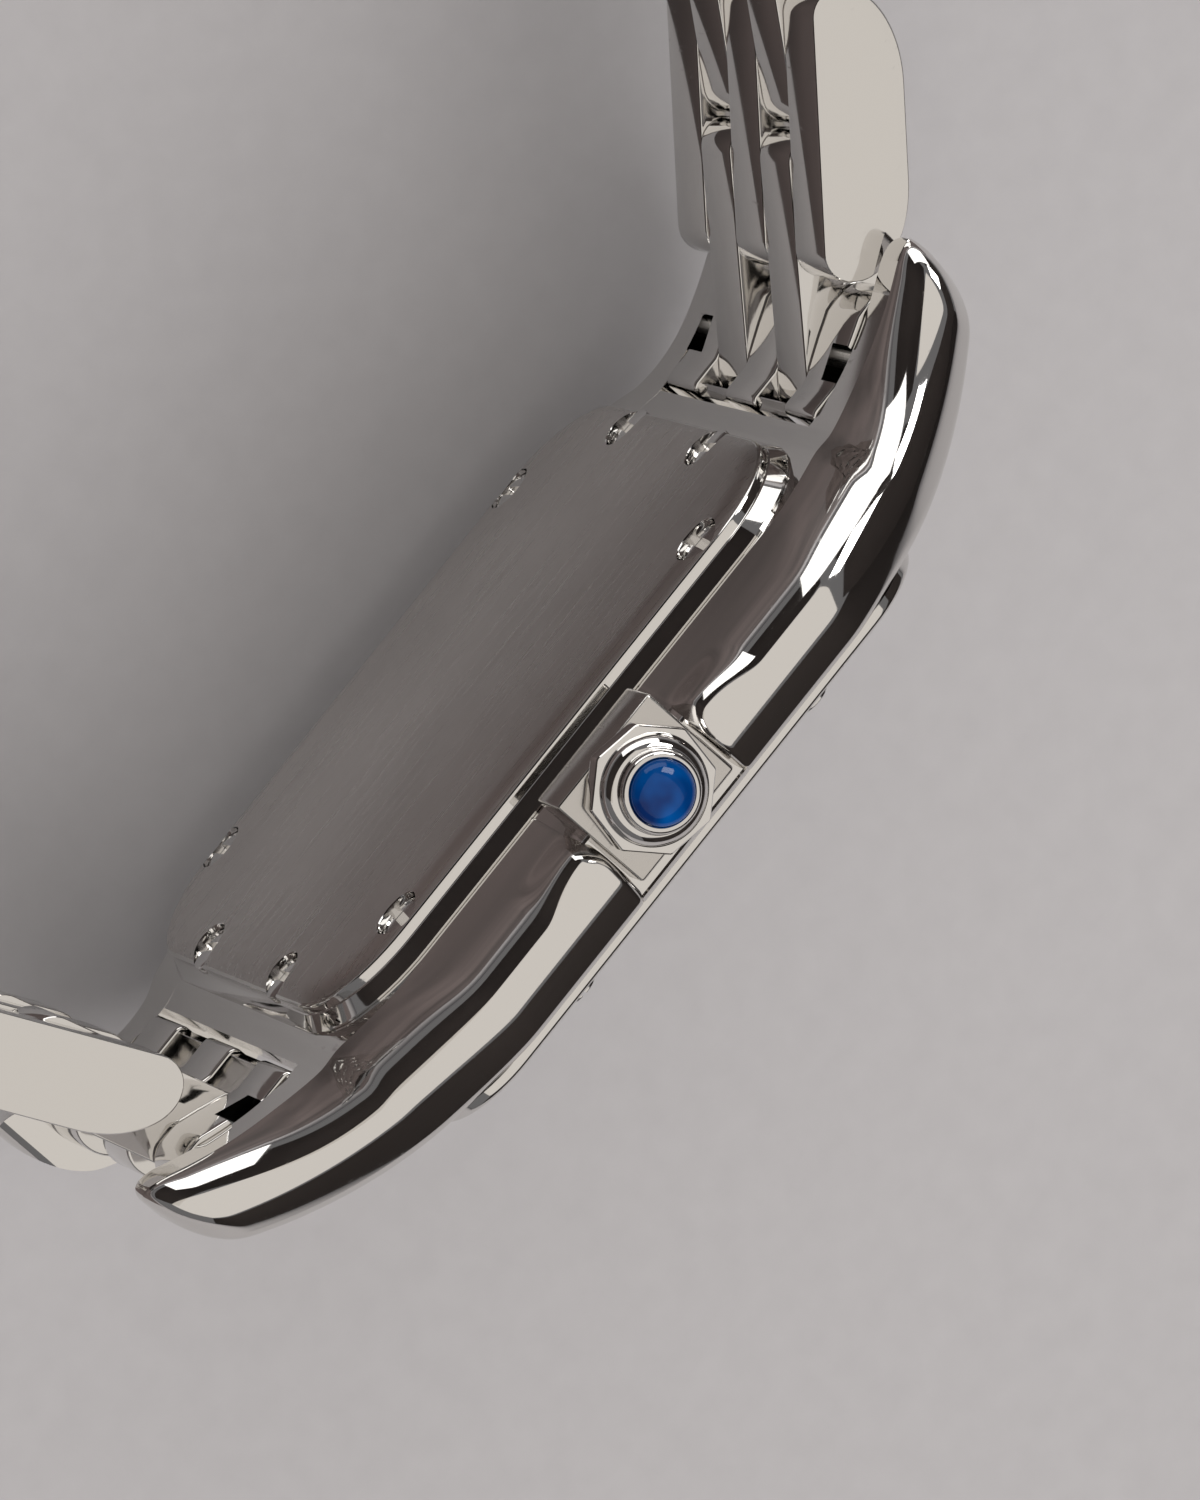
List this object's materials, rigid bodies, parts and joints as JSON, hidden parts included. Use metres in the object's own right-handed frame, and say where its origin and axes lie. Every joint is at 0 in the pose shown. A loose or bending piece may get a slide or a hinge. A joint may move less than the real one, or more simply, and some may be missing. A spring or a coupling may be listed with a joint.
{
  "type": "square wristwatch",
  "caption": "Square steel wristwatch with horned case, octagonal crown, screwed case back and unfastened brick-link bracelet with box clasp.",
  "frame": {"origin": "centre of the flat outer face of the case back", "axes": "+Z towards the crown at 3 o'clock, +Y out of the case back towards the wrist, +X towards 6 o'clock; the watch stands on its 9 o'clock flank"},
  "size_m": [0.0577, 0.0491, 0.0287],
  "materials": {
    "polished_steel": "mirror polished steel",
    "brushed_steel": "fine lengthwise brushing",
    "screw_steel": "polished slotted",
    "pin_steel": "ground",
    "blue_cabochon": "polished stone",
    "crystal_glass": "clear",
    "gasket_rubber": "matt",
    "dial_cream": "grained lacquer",
    "blued_steel": "blued",
    "plate_brass": "gilt",
    "battery_steel": "satin",
    "board_green": "coated board",
    "coil_copper": "enamelled wire",
    "holder_plastic": "moulded"
  },
  "bodies": {
    "case": {"case_middle": "polished_steel", "bezel": "polished_steel", "bezel_screws": "screw_steel", "crystal": "crystal_glass", "crystal_gasket": "gasket_rubber", "dial": "dial_cream", "dial_flange": "dial_cream", "movement_ring": "holder_plastic", "main_plate": "plate_brass", "battery": "battery_steel", "circuit_board": "board_green", "motor_coil": "coil_copper", "motor_stator": "brushed_steel", "train_bridge": "battery_steel", "crown_tube": "pin_steel", "case_back": "brushed_steel", "case_back_gasket": "gasket_rubber", "case_back_screws": "screw_steel", "end_link_six": "polished_steel", "end_link_twelve": "polished_steel", "lug_bar_six": "pin_steel", "lug_bar_twelve": "pin_steel"},
    "minute": {"cannon_pinion": "plate_brass", "minute_hand": "blued_steel"},
    "hour": {"hour_wheel": "plate_brass", "hour_hand": "blued_steel"},
    "motion_work": {"minute_wheel": "plate_brass"},
    "clutch": {"clutch_wheel": "pin_steel"},
    "crown": {"crown": "polished_steel", "stem": "pin_steel", "cabochon": "blue_cabochon", "crown_gasket": "gasket_rubber"},
    "six_1": {"links_six_1": "polished_steel"},
    "six_2": {"links_six_2": "polished_steel", "pins_six_2": "pin_steel"},
    "six_3": {"links_six_3": "polished_steel"},
    "six_4": {"links_six_4": "polished_steel", "pins_six_4": "pin_steel"},
    "six_5": {"links_six_5": "polished_steel"},
    "six_6": {"links_six_6": "polished_steel", "pins_six_6": "pin_steel"},
    "six_7": {"links_six_7": "polished_steel"},
    "six_clasp": {"clasp_tongue": "polished_steel", "clasp_pin_six": "pin_steel"},
    "twelve_1": {"links_twelve_1": "polished_steel"},
    "twelve_2": {"links_twelve_2": "polished_steel", "pins_twelve_2": "pin_steel"},
    "twelve_3": {"links_twelve_3": "polished_steel"},
    "twelve_4": {"links_twelve_4": "polished_steel", "pins_twelve_4": "pin_steel"},
    "twelve_5": {"links_twelve_5": "polished_steel"},
    "twelve_6": {"links_twelve_6": "polished_steel", "pins_twelve_6": "pin_steel"},
    "twelve_7": {"links_twelve_7": "polished_steel"},
    "twelve_clasp": {"clasp_box": "polished_steel", "clasp_pin_twelve": "pin_steel"},
    "button_upper": {"push_button_upper": "polished_steel"},
    "button_lower": {"push_button_lower": "polished_steel"}
  },
  "joints": [
    {"name": "minute_hand", "type": "hinge", "parent": "case", "child": "minute", "pos_m": [0, -0.003, 0], "axis": [0, 1, 0], "continuous": true},
    {"name": "hour_hand", "type": "hinge", "parent": "case", "child": "hour", "pos_m": [0, -0.003, 0], "axis": [0, 1, 0], "continuous": true},
    {"name": "minute_wheel", "type": "hinge", "parent": "case", "child": "motion_work", "pos_m": [0.002, -0.0028, 0], "axis": [0, 1, 0], "continuous": true},
    {"name": "crown_turn", "type": "hinge", "parent": "case", "child": "clutch", "pos_m": [0, -0.00225, 0.0065], "axis": [0, 0, 1], "continuous": true},
    {"name": "crown_pull", "type": "slide", "parent": "clutch", "child": "crown", "axis": [0, 0, 1], "range_m": [0, 0.001]},
    {"name": "six_hinge_1", "type": "hinge", "parent": "case", "child": "six_1", "pos_m": [0.0153, -0.00154, 0], "axis": [0, 0, 1], "range_deg": [-46, 34]},
    {"name": "six_hinge_2", "type": "hinge", "parent": "six_1", "child": "six_2", "pos_m": [0.01846, 0.00173, 0], "axis": [0, 0, -1], "range_deg": [-37, 8]},
    {"name": "six_hinge_3", "type": "hinge", "parent": "six_2", "child": "six_3", "pos_m": [0.02173, 0.00489, 0], "axis": [0, 0, 1], "range_deg": [-17, 28]},
    {"name": "six_hinge_4", "type": "hinge", "parent": "six_3", "child": "six_4", "pos_m": [0.0246, 0.00843, 0], "axis": [0, 0, -1], "range_deg": [-28, 17]},
    {"name": "six_hinge_5", "type": "hinge", "parent": "six_4", "child": "six_5", "pos_m": [0.02701, 0.01229, 0], "axis": [0, 0, 1], "range_deg": [-17, 28]},
    {"name": "six_hinge_6", "type": "hinge", "parent": "six_5", "child": "six_6", "pos_m": [0.02893, 0.01641, 0], "axis": [0, 0, -1], "range_deg": [-28, 17]},
    {"name": "six_hinge_7", "type": "hinge", "parent": "six_6", "child": "six_7", "pos_m": [0.03034, 0.02074, 0], "axis": [0, 0, 1], "range_deg": [-17, 28]},
    {"name": "six_hinge_8", "type": "hinge", "parent": "six_7", "child": "six_clasp", "pos_m": [0.03121, 0.02521, 0], "axis": [0, 0, -1], "range_deg": [-28, 17]},
    {"name": "twelve_hinge_1", "type": "hinge", "parent": "case", "child": "twelve_1", "pos_m": [-0.0153, -0.00154, 0], "axis": [0, 0, 1], "range_deg": [-5, 75]},
    {"name": "twelve_hinge_2", "type": "hinge", "parent": "twelve_1", "child": "twelve_2", "pos_m": [-0.01648, 0.00285, 0], "axis": [0, 0, -1], "range_deg": [-1, 44]},
    {"name": "twelve_hinge_3", "type": "hinge", "parent": "twelve_2", "child": "twelve_3", "pos_m": [-0.01833, 0.00701, 0], "axis": [0, 0, 1], "range_deg": [-31, 14]},
    {"name": "twelve_hinge_4", "type": "hinge", "parent": "twelve_3", "child": "twelve_4", "pos_m": [-0.01988, 0.01129, 0], "axis": [0, 0, -1], "range_deg": [-14, 31]},
    {"name": "twelve_hinge_5", "type": "hinge", "parent": "twelve_4", "child": "twelve_5", "pos_m": [-0.02114, 0.01566, 0], "axis": [0, 0, 1], "range_deg": [-31, 14]},
    {"name": "twelve_hinge_6", "type": "hinge", "parent": "twelve_5", "child": "twelve_6", "pos_m": [-0.02208, 0.02011, 0], "axis": [0, 0, -1], "range_deg": [-14, 31]},
    {"name": "twelve_hinge_7", "type": "hinge", "parent": "twelve_6", "child": "twelve_7", "pos_m": [-0.02272, 0.02462, 0], "axis": [0, 0, 1], "range_deg": [-31, 14]},
    {"name": "twelve_hinge_8", "type": "hinge", "parent": "twelve_7", "child": "twelve_clasp", "pos_m": [-0.02304, 0.02916, 0], "axis": [0, 0, -1], "range_deg": [-14, 31]},
    {"name": "push_button_upper", "type": "slide", "parent": "twelve_clasp", "child": "button_upper", "axis": [0, 0, -1], "range_m": [0, 0.0005], "stiffness_N_per_m": 300},
    {"name": "push_button_lower", "type": "slide", "parent": "twelve_clasp", "child": "button_lower", "axis": [0, 0, 1], "range_m": [0, 0.0005], "stiffness_N_per_m": 300}
  ],
  "couplings": [
    {"joint": "hour_hand", "follows": "minute_hand", "ratio": 0.083333},
    {"joint": "minute_wheel", "follows": "minute_hand", "ratio": -0.33333}
  ]
}
